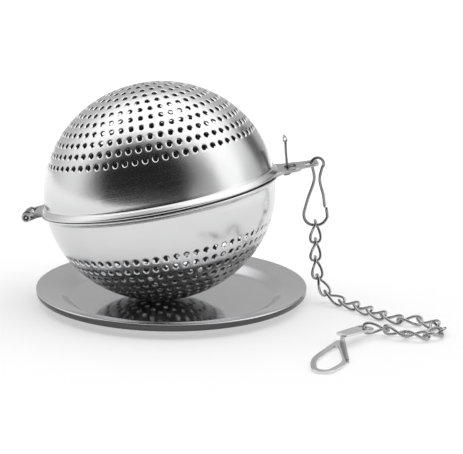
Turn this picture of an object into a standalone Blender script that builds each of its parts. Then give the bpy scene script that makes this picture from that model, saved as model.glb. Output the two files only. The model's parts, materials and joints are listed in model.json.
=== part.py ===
"""A mesh tea ball on its drip saucer, with a hinged lid, a spring latch and a hook chain.

The saucer's underside is at z = 0, centred on the origin. The ball leans on the saucer with its
handle up, towards +X. A snap clip hangs from the handle and holds a chain of twisted links, which
comes down beside the saucer, runs along the table and ends in a hook for the rim of a cup.
"""

import bmesh
import bpy
from math import asin, atan2, cos, degrees, pi, radians, sin, sqrt, tan
from mathutils import Matrix, Vector

MM = 0.001
GAP = 0.3 * MM                     # play between pieces that touch
ROUND_STEPS = 48                   # facets round the saucer and the ball
TURN_WELD = 0.00001                # merge distance at the poles of a turned piece
CAP_WELD = 0.000002                # merge distance at the caps of a curve
SMOOTH_ANGLE = radians(35)

# Saucer
SAUCER_R = 30 * MM
SAUCER_H = 3.2 * MM
SAUCER_SHEET = 0.5 * MM
WELL_FLOOR_R = 22.5 * MM
WELL_TOP_R = 25.2 * MM
WELL_TOP_Z = 2.3 * MM
WELL_BEND = 0.3 * MM               # size of the soft bends at the well's foot and top

# Ball: two flattened half shells that meet at their rims
BALL_R = 25 * MM
DOME_H = 23.5 * MM
SHEET = 0.5 * MM
RIM_R = 26 * MM                    # the rims are stepped out from the domes
UPPER_RIM_H = 1.2 * MM
LOWER_RIM_H = 1.0 * MM
RIM_STEP = 0.55 * MM               # height of the step between dome and rim
RIM_BLEND = 0.1 * MM               # how far the step's inside stands out from the dome's
DOME_START = radians(4.9)          # latitude where the step meets the dome
DOME_STEPS = 7
TILT = radians(10.4)               # how far the ball leans, handle side up
BALL_X = -2.4 * MM
BALL_Y = -2 * MM

# Perforation: rings of holes from the band near each rim up to the pole
HOLE_R = 0.8 * MM
HOLE_SIDES = 5
HOLE_DEPTH = 4 * SHEET
FIRST_ROW = {"upper": radians(28), "lower": radians(26)}
ROW_STEP = radians(10.5)
HOLE_PITCH = 5.2 * MM
ROWS = 6

# Plates on the rims: the handle and hinge web on the lid, the tongue on the lower shell
PLATE_T = 0.5 * MM
PLATE_LEVEL = 0.43 * MM            # middle of the sheet, above and below the rims' joint
PLATE_ROOT = RIM_R - 0.8 * MM      # the plates start just inside the rims
HANDLE_END = 34.6 * MM
HANDLE_HALF_W = 4.4 * MM
HANDLE_TIP_HALF_W = 3.1 * MM
HANDLE_WAIST_X = 30.6 * MM
HANDLE_FLARE = 1.6 * MM
HANDLE_CORNER = 1 * MM
TONGUE_END = 30.8 * MM
TONGUE_HALF_W = 3.6 * MM
TONGUE_CORNER = 1.5 * MM
SLOT_CORNER = 0.4 * MM
LATCH_SLOT = (27.3 * MM, 29.8 * MM)
LATCH_SLOT_HALF_W = 2.15 * MM
CLIP_HOLE = (31.7 * MM, 33.75 * MM)
CLIP_HOLE_HALF_W = 1.65 * MM
BAR_X = (CLIP_HOLE[1] + HANDLE_END) / 2      # the bar that the clip hangs on

# Latch: a thin spring strip that stands up through both slots
LATCH_T = 0.35 * MM
LATCH_HALF_W = 1.7 * MM
LATCH_X = 28.3 * MM
LATCH_TOP = 6.0 * MM
LATCH_ROLL_R = 0.5 * MM
LATCH_ROLL_LIFT = 0.3 * MM         # middle of the rolled end above the strip's top
LATCH_ROLL_SIDES = 12
LATCH_LINE = [                     # x and z from the foot's bend, in mm
    (-1.9, 0), (-0.4, 0), (0.05, 0.35), (0.05, 1.2), (-0.35, 1.9), (-0.15, 4.6),
]
LATCH_TOP_X = 0.1 * MM

# Hinge, opposite the handle: a curl of the lower shell's tongue round a bar of the lid
HINGE_X = -29.3 * MM
HINGE_Z = -0.3 * MM
HINGE_BAR_R = 0.4 * MM
CURL_R = 0.95 * MM                 # middle of the curled sheet
CURL_T = 0.4 * MM
CURL_HALF_W = 2.2 * MM
CURL_TURN = (290, 60)              # where the curl starts and ends, in degrees
CURL_STEPS = 12
CURL_ROOT_Z = -0.7 * MM
CURL_DROP = 0.15 * MM              # how far its tongue falls between the rim and the curl
WEB_END = HINGE_X + 1.7 * MM
WEB_FLARE = 2 * MM
ARM_IN = 2.6 * MM
ARM_OUT = 3.7 * MM
ARM_T = 0.6 * MM
ARM_KNEE = (0.7 * MM, 0.35 * MM)   # from the bar's middle, in X and Z
ARM_TIP = (-0.35 * MM, -0.1 * MM)

# Snap clip: bent spring wire, pear shaped. Points are x and z from the handle's bar, in mm
CLIP_WIRE_R = 0.4 * MM
CLIP_HEAD = (0.3 * MM, -0.4 * MM)
CLIP_HEAD_R = 1.35 * MM
CLIP_HEAD_TURN = (-42, 222)
CLIP_DROP = 13.8 * MM              # from the handle's bar to the bottom wire
CLIP_FOOT_R = 2.1 * MM
CLIP_FOOT_X = (-0.15 * MM, 0.55 * MM)
CLIP_HOOKED_SIDE = [(2.15, -9.9), (1.75, -7.2), (0.9, -3.9)]
CLIP_BACK_SIDE = [(-0.3, -3.9), (-1.5, -7.9), (-2.25, -10.9)]
CLIP_FREE_END = [(2.35, -9.6)]
GATE_LAP = (0.35 * MM, 1 * MM, 1.1 * MM)     # how far the free end stands forward

# Chain: identical twisted links
LINK_WIRE_R = 0.37 * MM
LINK_HALF_W = 1.45 * MM
LINK_PITCH = 4.0 * MM
LINK_HALF_L = LINK_PITCH / 2 + LINK_WIRE_R + GAP / 2
LINK_TWIST = radians(45)           # each way from the middle
LINK_FULLNESS = 0.65               # below 1, a link is fuller than an ellipse
LINK_POINTS = 14
LINK_Z = 0.96 * MM                 # middle height of a link that lies on the table
HANG_X = 0.2 * MM                  # the chain hangs this far outside the handle's bar
DOWN = None                        # the slope that brings a link to the table
# Each link's heading from +X, its slope and its roll, in degrees: down from the clip, along the
# table towards the front right, round the bend and back to the hook's eye
CHAIN_ROUTE = [
    (-38, -87, 0), (-38, -88, 0), (-36, -80, 0), (-32, -57, 0), (-34, DOWN, 0), (-44, 0, 0),
    (-56, 0, 0), (-52, 0, 0), (-40, 0, 0), (-2, 0, 0), (-46, 0, 0), (-92, 0, 0), (-138, 1, 0),
    (-182, 3, 12), (-204, 4, 28), (-180, 4, 45),
]

# Rim hook: a flat ring, a side wall folded up from it and a tongue that holds the last link
HOOK_T = 0.5 * MM
RING_Z = 0.3 * MM                  # middle of the ring's sheet above the table
RING_OUTER = [                     # corners from the eye: x, y and radius, in mm
    (-6.1, -3.9, 0.8), (-12.2, -14.9, 5), (-12.2, -21.2, 2.2), (-8.7, -21.2, 1.6),
    (-4.9, -15.9, 1.4), (-4.9, -3.9, 0.5),
]
RING_INNER = [
    (-6.3, -7.1, 0.4), (-10.9, -15.4, 3.2), (-10.9, -19.9, 1), (-9.4, -19.9, 0.8),
    (-6.3, -15.5, 0.9),
]
WALL_X = -5.2 * MM
WALL_OUTLINE = [                   # distance towards the front and height, in mm
    (4.4, 0.1), (15.4, 0.1), (15.4, 0.55), (9, 1.5), (7.6, 2.15), (4.4, 2.15),
]
TONGUE_HEADING = radians(-131)
TONGUE_SLOPE = radians(4)
TONGUE_LENGTH = 8.4 * MM
EYE_TONGUE_HALF_W = 1.6 * MM
TONGUE_TAPER = 0.8                 # width at the wall over width at the eye
EYE_BAR = 0.8 * MM
EYE_LENGTH = 1.45 * MM
EYE_HALF_W = 1.1 * MM
EYE_CORNER = 0.35 * MM
EYE_CHAMFER = 0.6 * MM

# Colours
STEEL = (0.62, 0.62, 0.63)
SPUN_STEEL = (0.66, 0.66, 0.67)
WIRE_STEEL = (0.55, 0.55, 0.56)


def clear_scene():
    for item in list(bpy.data.objects):
        bpy.data.objects.remove(item)


def new_collection(name):
    group = bpy.data.collections.new(name)
    bpy.context.scene.collection.children.link(group)
    return group


def steel(name, colour, roughness):
    material = bpy.data.materials.new(name)
    material.use_nodes = True
    shader = material.node_tree.nodes["Principled BSDF"]
    shader.inputs["Base Color"].default_value = (*colour, 1)
    shader.inputs["Metallic"].default_value = 1
    shader.inputs["Roughness"].default_value = roughness
    material.diffuse_color = (*colour, 1)
    return material


def in_mm(points):
    return [(x * MM, y * MM) for x, y in points]


def add_object(name, mesh, group):
    item = bpy.data.objects.new(name, mesh)
    group.objects.link(item)
    return item


def pivot(name, place, parent=None, turn=(0, 0, 0)):
    """An empty that a moving piece turns about."""
    item = add_object(name, None, PARTS)
    item.empty_display_size = 2 * MM
    item.location = place
    item.rotation_euler = turn
    item.parent = parent
    return item


def hide_cutter(item):
    for group in list(item.users_collection):
        group.objects.unlink(item)
    CUTTERS.objects.link(item)
    item.hide_render = True
    item.display_type = "WIRE"


def turned(name, profile, group):
    """A body of revolution about Z. The profile runs down its outer side."""
    mesh = bpy.data.meshes.new(name)
    mesh.from_pydata([(x, 0, z) for x, z in profile],
                     [(i, i + 1) for i in range(len(profile) - 1)], [])
    item = add_object(name, mesh, group)
    screw = item.modifiers.new("turn", "SCREW")
    screw.axis = "Z"
    screw.angle = 2 * pi
    screw.steps = screw.render_steps = ROUND_STEPS
    screw.use_merge_vertices = True
    screw.merge_threshold = TURN_WELD
    return item


def curve_to_mesh(curve_object, group):
    """A welded mesh in place of a curve object."""
    graph = bpy.context.evaluated_depsgraph_get()
    mesh = bpy.data.meshes.new_from_object(curve_object.evaluated_get(graph))
    body = bmesh.new()
    body.from_mesh(mesh)
    bmesh.ops.remove_doubles(body, verts=body.verts, dist=CAP_WELD)
    body.to_mesh(mesh)
    body.free()
    name = curve_object.name
    curve = curve_object.data
    bpy.data.objects.remove(curve_object)
    bpy.data.curves.remove(curve)
    return add_object(name, mesh, group)


def poly_spline(curve, points, cyclic):
    spline = curve.splines.new("POLY")
    spline.points.add(len(points) - 1)
    for target, point in zip(spline.points, points):
        target.co = (*point, 1)
    spline.use_cyclic_u = cyclic


def wire(name, points, radius, cyclic, group, resolution=1):
    """A round wire along a line of points."""
    curve = bpy.data.curves.new(name, "CURVE")
    curve.dimensions = "3D"
    curve.render_resolution_u = 0
    curve.bevel_depth = radius
    curve.bevel_resolution = resolution
    curve.use_fill_caps = True
    poly_spline(curve, points, cyclic)
    return curve_to_mesh(add_object(name, curve, group), group)


def plate(name, outlines, thickness, group):
    """A flat sheet in the XY plane, centred on z = 0. Outlines after the first are holes."""
    curve = bpy.data.curves.new(name, "CURVE")
    curve.dimensions = "2D"
    curve.fill_mode = "BOTH"
    curve.render_resolution_u = 0
    curve.extrude = thickness / 2
    for outline in outlines:
        poly_spline(curve, [(x, y, 0) for x, y in outline], True)
    return curve_to_mesh(add_object(name, curve, group), group)


def upright(item):
    """Turns a sheet that was drawn in XY so that its drawing is in XZ, facing the front."""
    item.data.transform(Matrix.Rotation(pi / 2, 4, "X"))
    return item


def slide(item, x, y, z):
    item.data.transform(Matrix.Translation((x, y, z)))
    return item


def arc(cx, cy, radius, start, end, steps):
    """Points along an arc. Angles are in degrees."""
    turn = [radians(start + (end - start) * i / steps) for i in range(steps + 1)]
    return [(cx + radius * cos(t), cy + radius * sin(t)) for t in turn]


def circle(cx, cy, radius, sides):
    return arc(cx, cy, radius, 0, 360, sides)[:-1]


def slot(ends, half_width, corner=SLOT_CORNER):
    """A rectangular hole with rounded corners, along X between two ends."""
    x0, x1 = ends[0] + corner, ends[1] - corner
    y = half_width - corner
    return (arc(x1, y, corner, 0, 90, 2) + arc(x0, y, corner, 90, 180, 2)
            + arc(x0, -y, corner, 180, 270, 2) + arc(x1, -y, corner, 270, 360, 2))


def thickened(line, thickness):
    """The outline of a bent strip, from the line along its middle."""
    left, right = [], []
    for i, (x, y) in enumerate(line):
        before = Vector(line[max(i - 1, 0)])
        after = Vector(line[min(i + 1, len(line) - 1)])
        along = (after - before).normalized()
        aside = Vector((-along.y, along.x)) * thickness / 2
        left.append((x + aside.x, y + aside.y))
        right.append((x - aside.x, y - aside.y))
    return left + right[::-1]


def combine(item, other, operation="UNION"):
    """Joins a helper piece to an item, or cuts it away."""
    boolean = item.modifiers.new(operation.lower(), "BOOLEAN")
    boolean.operation = operation
    boolean.solver = "EXACT"
    boolean.object = other
    other.parent = item.parent
    other.location = item.location
    other.rotation_euler = item.rotation_euler
    hide_cutter(other)


def finish(item, material):
    item.data.materials.clear()
    item.data.materials.append(material)
    item.data.shade_smooth()
    item.data.set_sharp_from_angle(angle=SMOOTH_ANGLE)


def ellipse_arc(radius, height, start, end, steps):
    turn = [start + (end - start) * i / steps for i in range(steps + 1)]
    return [(radius * cos(t), height * sin(t)) for t in turn]


def dome_profile(rim_height):
    """A half shell with its pole down: inside from the pole to the rim, then down the outside."""
    lip = GAP / 2
    inner = ellipse_arc(BALL_R - SHEET, DOME_H - SHEET, pi / 2, DOME_START, DOME_STEPS)
    outer = ellipse_arc(BALL_R, DOME_H, DOME_START, pi / 2, DOME_STEPS)
    step_z = outer[0][1] - RIM_STEP
    rim = [
        (BALL_R - SHEET + RIM_BLEND, step_z), (RIM_R - SHEET, rim_height - SHEET),
        (RIM_R - SHEET, lip), (RIM_R, lip), (RIM_R, lip + rim_height),
    ]
    line = inner + rim + outer
    line[0] = (0, line[0][1])
    line[-1] = (0, line[-1][1])
    return [(x, -z) for x, z in line]


def hole_cutter(name, first_row, side):
    """Short prisms that cut rings of holes square to a dome. Side is 1 upwards, -1 downwards."""
    body = bmesh.new()
    for row in range(ROWS):
        latitude = first_row + row * ROW_STEP
        ring_r = BALL_R * cos(latitude)
        height = side * DOME_H * sin(latitude)
        count = max(1, round(2 * pi * ring_r / HOLE_PITCH))
        for k in range(count):
            turn = 2 * pi * (k + 0.5 * (row % 2)) / count
            middle = Vector((ring_r * cos(turn), ring_r * sin(turn), height))
            outward = Vector((middle.x / BALL_R**2, middle.y / BALL_R**2, middle.z / DOME_H**2))
            turn_to = outward.to_track_quat("Z", "Y").to_matrix().to_4x4()
            bmesh.ops.create_cone(body, cap_ends=True, segments=HOLE_SIDES, radius1=HOLE_R,
                                  radius2=HOLE_R, depth=HOLE_DEPTH,
                                  matrix=Matrix.Translation(middle) @ turn_to)
    mesh = bpy.data.meshes.new(name)
    body.to_mesh(mesh)
    body.free()
    return add_object(name, mesh, CUTTERS)


def make_saucer():
    t, bend = SAUCER_SHEET, WELL_BEND
    top = [(0, t), (WELL_FLOOR_R - 2 * bend, t), (WELL_FLOOR_R + bend, t + bend),
           (WELL_TOP_R - bend, WELL_TOP_Z - bend / 2), (WELL_TOP_R + bend, WELL_TOP_Z),
           (SAUCER_R, SAUCER_H)]
    under = [(SAUCER_R, SAUCER_H - t), (WELL_TOP_R + bend, WELL_TOP_Z - t),
             (WELL_FLOOR_R + 2 * bend, bend), (WELL_FLOOR_R - bend, 0), (0, 0)]
    saucer = turned("saucer", top + under, PARTS)
    finish(saucer, steel("mirror_steel", STEEL, 0.12))


def lower_tongue():
    """The plate below the handle, with the latch's slot."""
    x, y = TONGUE_END - TONGUE_CORNER, TONGUE_HALF_W - TONGUE_CORNER
    outline = (arc(x, y, TONGUE_CORNER, 90, 0, 3) + arc(x, -y, TONGUE_CORNER, 0, -90, 3)
               + [(PLATE_ROOT, -TONGUE_HALF_W), (PLATE_ROOT, TONGUE_HALF_W)])
    latch_slot = slot(LATCH_SLOT, LATCH_SLOT_HALF_W)
    tongue = plate("lower_tongue", [outline[::-1], latch_slot], PLATE_T, CUTTERS)
    return slide(tongue, 0, 0, -PLATE_LEVEL)


def hinge_curl():
    """The lower shell's tongue at the hinge, curled up round the lid's bar."""
    straight = [(-PLATE_ROOT, CURL_ROOT_Z), (HINGE_X + 2 * CURL_R, CURL_ROOT_Z - CURL_DROP)]
    curl = arc(HINGE_X, HINGE_Z, CURL_R, *CURL_TURN, CURL_STEPS)
    outline = thickened(straight + curl, CURL_T)
    return upright(plate("hinge_curl", [outline], 2 * CURL_HALF_W, CUTTERS))


def make_lower_shell(seat):
    shell = turned("lower_shell", dome_profile(LOWER_RIM_H), PARTS)
    shell.parent = seat
    combine(shell, lower_tongue())
    combine(shell, hinge_curl())
    combine(shell, hole_cutter("cut_lower_holes", FIRST_ROW["lower"], -1), "DIFFERENCE")
    finish(shell, steel("lower_steel", SPUN_STEEL, 0.22))


def handle_plate():
    """The handle, with slots for the latch and for the clip."""
    half = [(PLATE_ROOT, HANDLE_HALF_W + HANDLE_FLARE),
            (PLATE_ROOT + HANDLE_FLARE, HANDLE_HALF_W + HANDLE_FLARE / 4),
            (HANDLE_WAIST_X - HANDLE_FLARE, HANDLE_HALF_W),
            (HANDLE_WAIST_X, HANDLE_TIP_HALF_W + HANDLE_FLARE / 8)]
    half += arc(HANDLE_END - HANDLE_CORNER, HANDLE_TIP_HALF_W - HANDLE_CORNER, HANDLE_CORNER, 90, 0, 3)
    outline = half + [(x, -y) for x, y in half[::-1]]
    slots = [slot(LATCH_SLOT, LATCH_SLOT_HALF_W), slot(CLIP_HOLE, CLIP_HOLE_HALF_W)]
    return slide(plate("handle_plate", [outline[::-1]] + slots, PLATE_T, CUTTERS), 0, 0, PLATE_LEVEL)


def hinge_web():
    """The lid's plate at the hinge, which carries the two arms."""
    root_half_w = ARM_OUT + WEB_FLARE
    outline = [(-PLATE_ROOT, -root_half_w), (-PLATE_ROOT, root_half_w), (WEB_END, ARM_OUT),
               (WEB_END, -ARM_OUT)]
    return slide(plate("hinge_web", [outline], PLATE_T, CUTTERS), 0, 0, PLATE_LEVEL)


def hinge_arm(side):
    """One of the arms that hold the ends of the hinge bar."""
    line = [(WEB_END + ARM_T, PLATE_LEVEL), (WEB_END, PLATE_LEVEL),
            (HINGE_X + ARM_KNEE[0], HINGE_Z + ARM_KNEE[1]), (HINGE_X + ARM_TIP[0], HINGE_Z + ARM_TIP[1])]
    arm = plate("hinge_arm", [thickened(line, ARM_T)], ARM_OUT - ARM_IN, CUTTERS)
    return slide(upright(arm), 0, side * (ARM_IN + ARM_OUT) / 2, 0)


def hinge_bar():
    half = ARM_OUT - GAP
    ends = [(HINGE_X, -half, HINGE_Z), (HINGE_X, half, HINGE_Z)]
    return wire("hinge_bar", ends, HINGE_BAR_R, False, CUTTERS, 2)


def make_upper_shell(lid):
    profile = [(x, -z) for x, z in dome_profile(UPPER_RIM_H)[::-1]]
    shell = turned("upper_shell", profile, PARTS)
    shell.parent = lid
    shell.location = (-HINGE_X, 0, -HINGE_Z)
    for piece in (handle_plate(), hinge_web(), hinge_arm(-1), hinge_arm(1), hinge_bar()):
        combine(shell, piece)
    combine(shell, hole_cutter("cut_upper_holes", FIRST_ROW["upper"], 1), "DIFFERENCE")
    finish(shell, steel("upper_steel", SPUN_STEEL, 0.22))


def make_latch(seat):
    """The spring strip. Its foot lies under the lower tongue, where it bends."""
    foot_z = -PLATE_LEVEL - PLATE_T / 2 - GAP - LATCH_T / 2
    base = pivot("latch_pivot", (LATCH_X, 0, foot_z), seat)
    top_z = LATCH_TOP - foot_z
    line = in_mm(LATCH_LINE) + [(LATCH_TOP_X, top_z)]
    strip = upright(plate("latch_spring", [thickened(line, LATCH_T)], 2 * LATCH_HALF_W, PARTS))
    strip.parent = base
    rolled_end = circle(LATCH_TOP_X, top_z + LATCH_ROLL_LIFT, LATCH_ROLL_R, LATCH_ROLL_SIDES)
    combine(strip, upright(plate("latch_roll", [rolled_end], 2 * LATCH_HALF_W, CUTTERS)))
    finish(strip, steel("spring_steel", WIRE_STEEL, 0.25))


def clip_line():
    """The middle of the clip's wire, about the handle's bar, drawn in XZ."""
    foot_z = CLIP_FOOT_R - CLIP_DROP
    line = in_mm(CLIP_HOOKED_SIDE) + arc(*CLIP_HEAD, CLIP_HEAD_R, *CLIP_HEAD_TURN, 11)
    line += in_mm(CLIP_BACK_SIDE) + arc(CLIP_FOOT_X[0], foot_z, CLIP_FOOT_R, 190, 270, 4)
    line += arc(CLIP_FOOT_X[1], foot_z, CLIP_FOOT_R, 270, 365, 5) + in_mm(CLIP_FREE_END)
    return line


def make_clip(seat):
    bar = pivot("clip_pivot", (BAR_X, 0, PLATE_LEVEL), seat, (0, TILT, 0))
    line = clip_line()
    # The free end laps over the hooked end, in front of it
    forward = [0] * (len(line) - len(GATE_LAP)) + list(GATE_LAP)
    points = [(x, -lap, z) for (x, z), lap in zip(line, forward)]
    clip = wire("snap_clip", points, CLIP_WIRE_R, False, PARTS)
    clip.parent = bar
    finish(clip, steel("wire_steel", WIRE_STEEL, 0.2))


def link_mesh():
    """One loop of wire, twisted a quarter turn from end to end, along Z."""
    points = []
    for i in range(LINK_POINTS):
        s = 2 * pi * (i + 0.5) / LINK_POINTS
        along = LINK_HALF_L * cos(s)
        out = LINK_HALF_W * abs(sin(s)) ** LINK_FULLNESS * (1 if sin(s) > 0 else -1)
        twist = LINK_TWIST * along / LINK_HALF_L
        points.append((out * cos(twist), out * sin(twist), along))
    link = wire("chain_link", points, LINK_WIRE_R, True, PARTS)
    finish(link, steel("chain_steel", WIRE_STEEL, 0.2))
    mesh = link.data
    bpy.data.objects.remove(link)
    return mesh


def route_frame(heading, slope, roll):
    """A link's side, normal and length directions. Without roll its middle plane lies level."""
    h, e = radians(heading), radians(slope)
    along = Vector((cos(e) * cos(h), cos(e) * sin(h), sin(e)))
    normal = Vector((-sin(e) * cos(h), -sin(e) * sin(h), cos(e)))
    normal.rotate(Matrix.Rotation(radians(roll), 3, along))
    return normal.cross(along), normal, along


def make_chain(start):
    """The links from the clip on. Returns the hook's pivot, past the last link."""
    mesh = link_mesh()
    place = Vector(start)
    for number, (heading, slope, roll) in enumerate(CHAIN_ROUTE, 1):
        if slope is DOWN:
            slope = -degrees(asin((place.z - LINK_Z) / LINK_PITCH))
        side, normal, along = route_frame(heading, slope, roll)
        joint = pivot(f"link_pivot_{number:02d}", place)
        link = add_object(f"chain_link_{number:02d}", mesh, PARTS)
        link.parent = joint
        link.location = along * LINK_PITCH / 2
        link.rotation_euler = Matrix((side, normal, along)).transposed().to_euler()
        place = place + along * LINK_PITCH
    return place


def rounded(corners):
    """An outline with rounded corners. Corners are (x, y, radius) in mm, anticlockwise."""
    points = []
    for i, (x, y, radius) in enumerate(corners):
        here = Vector((x, y))
        before = (here - Vector(corners[i - 1][:2])).normalized()
        after = (Vector(corners[(i + 1) % len(corners)][:2]) - here).normalized()
        half = before.angle(after) / 2
        inward = Vector((-before.y, before.x))
        centre = here - before * radius * tan(half) + inward * radius
        first = degrees(atan2(-inward.y, -inward.x))
        last = first + degrees(2 * half)
        points += arc(centre.x * MM, centre.y * MM, radius * MM, first, last, 3)
    return points


def eye_tongue():
    """The tongue from the eye's bar to the side wall, sloping as the last link does."""
    bar_end = LINK_PITCH / 2 - LINK_HALF_L - EYE_BAR / 2
    eye_w, root_w = EYE_TONGUE_HALF_W, EYE_TONGUE_HALF_W * TONGUE_TAPER
    outline = [(bar_end + EYE_CHAMFER, -eye_w), (TONGUE_LENGTH, -root_w), (TONGUE_LENGTH, root_w),
               (bar_end + EYE_CHAMFER, eye_w), (bar_end, eye_w - EYE_CHAMFER),
               (bar_end, EYE_CHAMFER - eye_w)]
    hole = (bar_end + EYE_BAR, bar_end + EYE_BAR + EYE_LENGTH)
    tongue = plate("hook_tongue", [outline, slot(hole, EYE_HALF_W, EYE_CORNER)], HOOK_T, CUTTERS)
    tongue.data.transform(Matrix.Rotation(-TONGUE_SLOPE, 4, "Y"))
    tongue.data.transform(Matrix.Rotation(TONGUE_HEADING, 4, "Z"))
    return tongue


def make_hook(eye):
    """The hook about its eye. The ring lies on the table."""
    joint = pivot("hook_pivot", eye)
    ring_z = RING_Z - eye.z
    hook = plate("rim_hook", [rounded(RING_OUTER), rounded(RING_INNER)[::-1]], HOOK_T, PARTS)
    slide(hook, 0, 0, ring_z)
    hook.parent = joint
    wall = upright(plate("hook_wall", [in_mm(WALL_OUTLINE)], HOOK_T, CUTTERS))
    wall.data.transform(Matrix.Rotation(-pi / 2, 4, "Z"))
    combine(hook, slide(wall, WALL_X, 0, ring_z))
    combine(hook, eye_tongue())
    finish(hook, steel("hook_steel", STEEL, 0.2))


def main():
    reach = sqrt((BALL_R * sin(TILT)) ** 2 + (DOME_H * cos(TILT)) ** 2)
    centre = Vector((BALL_X, BALL_Y, SAUCER_SHEET + GAP + reach))
    make_saucer()
    seat = pivot("ball_seat", centre, None, (0, -TILT, 0))
    lid = pivot("lid_pivot", (HINGE_X, 0, HINGE_Z), seat)
    make_lower_shell(seat)
    make_upper_shell(lid)
    make_latch(seat)
    make_clip(seat)
    bar = centre + Matrix.Rotation(-TILT, 3, "Y") @ Vector((BAR_X, 0, PLATE_LEVEL))
    end = make_chain(bar + Vector((HANG_X, 0, LINK_WIRE_R + GAP / 2 - CLIP_DROP)))
    make_hook(end)


clear_scene()
PARTS = new_collection("tea_infuser")
CUTTERS = new_collection("cutters")
main()
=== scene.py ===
"""The looks of the tea infuser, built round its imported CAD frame.

Fine shells with about 450 dimpled holes each, a mirror saucer, smooth wire and brushed plates stand
in for the plain CAD solids. Every length is in metres, in the frame's own axes.
"""

import json
from math import atan2, cos, degrees, pi, radians, sin, sqrt, tan

import bmesh
import bpy
from mathutils import Matrix, Vector


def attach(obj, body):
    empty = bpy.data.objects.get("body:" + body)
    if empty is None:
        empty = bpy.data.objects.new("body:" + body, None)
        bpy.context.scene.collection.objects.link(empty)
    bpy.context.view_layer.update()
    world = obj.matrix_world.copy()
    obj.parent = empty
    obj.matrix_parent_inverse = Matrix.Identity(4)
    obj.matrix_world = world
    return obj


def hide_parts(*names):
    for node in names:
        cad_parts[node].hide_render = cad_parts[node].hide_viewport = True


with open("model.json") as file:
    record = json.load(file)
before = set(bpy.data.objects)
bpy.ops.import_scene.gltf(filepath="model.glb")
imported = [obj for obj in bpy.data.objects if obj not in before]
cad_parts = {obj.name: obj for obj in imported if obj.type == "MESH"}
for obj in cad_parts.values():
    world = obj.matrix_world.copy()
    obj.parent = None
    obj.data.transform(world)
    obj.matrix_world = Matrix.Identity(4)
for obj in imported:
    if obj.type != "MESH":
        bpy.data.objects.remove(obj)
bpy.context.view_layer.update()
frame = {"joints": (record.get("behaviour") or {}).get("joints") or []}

MM = 0.001

# Mesh making
WELD = 0.001 * MM                  # vertices nearer than this become one
PLATE_WELD = 0.002 * MM
PLATE_SHARP = radians(40)          # edges sharper than this stay crisp
SHELL_SHARP = radians(60)
WIRE_ENDS = (0.45, 0.85)           # a wire's last two points, over its full radius

# Ball, as in the CAD
BALL_R = 25 * MM
DOME_H = 23.5 * MM
RIM_R = 26 * MM
RIM_LIP = 0.04 * MM                # half the gap between the two rims, at the hinge
AJAR = radians(0.22)               # each half stands this far open
UPPER_RIM_H = 1.2 * MM
LOWER_RIM_H = 1.0 * MM
SHELL_T = 0.45 * MM
FACES_INWARD = -0.5                # the outward part of an inner face's normal is below this
TILT = radians(10.4)
HINGE = Vector((-29.3 * MM, 0, -0.3 * MM))       # in the ball's own axes

# Perforation
HOLE_R = 0.5 * MM
HOLE_STRETCH = 1.18                # holes are a little taller than wide
DIMPLE_R = 0.78 * MM               # the sheet starts to turn in here
DIMPLE_DEPTH = 0.2 * MM
DIMPLE_SKEW = 0.7                  # how much deeper the lid's dimples are on their lower side
HOLE_PITCH = 2.05 * MM
ROW_STEP = radians(5.9)
ROWS = 11
FIRST_ROW = {"upper": radians(26.2), "lower": radians(23.7)}
CELL_FILL = 0.43                   # half a hole's cell over the row step
CELL_SIDE = 4                      # segments along each side of a cell
DIMPLE_LOOPS = 5
TURN_KEY = 100                     # parts of half a hole's turn, and of a radian, that tell one
LATITUDE_KEY = 1e7                 # vertex of the cells from the next

# Plain band and rolled rim. Lists of pairs are in mm.
BAND_SEGMENTS = 224                # round the plain band and the rim
BAND_LOOPS = 15
BAND_FOOT = radians(5.2)           # the latitude where the band ends
COVE = [(24.93, 0.3), (24.98, 0.1), (25.06, 0.02)]         # radius, height over the rim's top
BEVEL_R = 25.16 * MM               # the rim's top slopes down from here
BEVEL_SHORT = 0.08 * MM            # and ends this far inside the rim's edge
BEVEL_FOOT_H = 0.26 * MM
BEVEL_LOOPS = 4
RIM_FOOT = [(0.02, 0.24), (0, 0.16), (0.02, 0.06), (0.1, 0)]     # inside the edge, over the lip
NESTING_LIP = [(25.0, -0.6), (25.3, -0.6), (25.3, 0.4), (25.0, 0.4)]

# Plates
PLATE_T = 0.5 * MM
PLATE_LEVEL = 0.28 * MM            # the two plates almost touch
TONGUE_T = 0.35 * MM
TONGUE_LEVEL = 0.18 * MM
PLATE_ROOT = RIM_R - 0.8 * MM
LATCH_SLOT = (27.3 * MM, 29.8 * MM, 2.15 * MM)   # near end, far end, half width
CLIP_HOLE = (31.7 * MM, 33.75 * MM, 1.65 * MM)

# Hinge
EYE_R = 0.98 * MM                  # the rolled ends of the lid's arms
EYE_HOLE_R = 0.62 * MM
PIN_R = 0.34 * MM
PIN_POINTS = (-3.72, -3.6, 0, 3.6, 3.72)         # along the pin, in mm
ARM_W = 1.1 * MM
ARM_T = 0.6 * MM
ARM_MIDDLE = 3.15 * MM
EYE_EDGE = 0.06 * MM               # how far its edges are rounded
CURL_R = 0.95 * MM                 # the lower shell's curl round the pin
CURL_W = 4.4 * MM
CURL_T = 0.4 * MM

# Latch and clip
STRIP_W = 3.4 * MM
STRIP_T = 0.42 * MM
STRIP_EDGE = 0.06 * MM
STRIP_ROLL_T = 0.16 * MM
STRIP_ROLL_EDGE = 0.03 * MM
CLIP_WIRE_R = 0.31 * MM

# Chain
LINK_WIRE_R = 0.29 * MM
LINK_HALF_W = 1.45 * MM
LINK_HALF_L = 2.44 * MM
LINK_TWIST = radians(45)
LINK_FULLNESS = 0.65
LINK_POINTS = 56
LINK_COUNT = 16
LINK_ROLL = {14: 12, 15: 28, 16: 45}             # degrees about the link's length

# Hook
HOOK_T = 0.5 * MM
HOOK_RING_LEVEL = 0.3 * MM         # the middle of the flat ring, over the table
HOOK_WALL_X = -5.2 * MM            # from the hook's eye
HOOK_HEADING = radians(-131)       # of the tongue, seen from above
HOOK_SLOPE = radians(-4)

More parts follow.
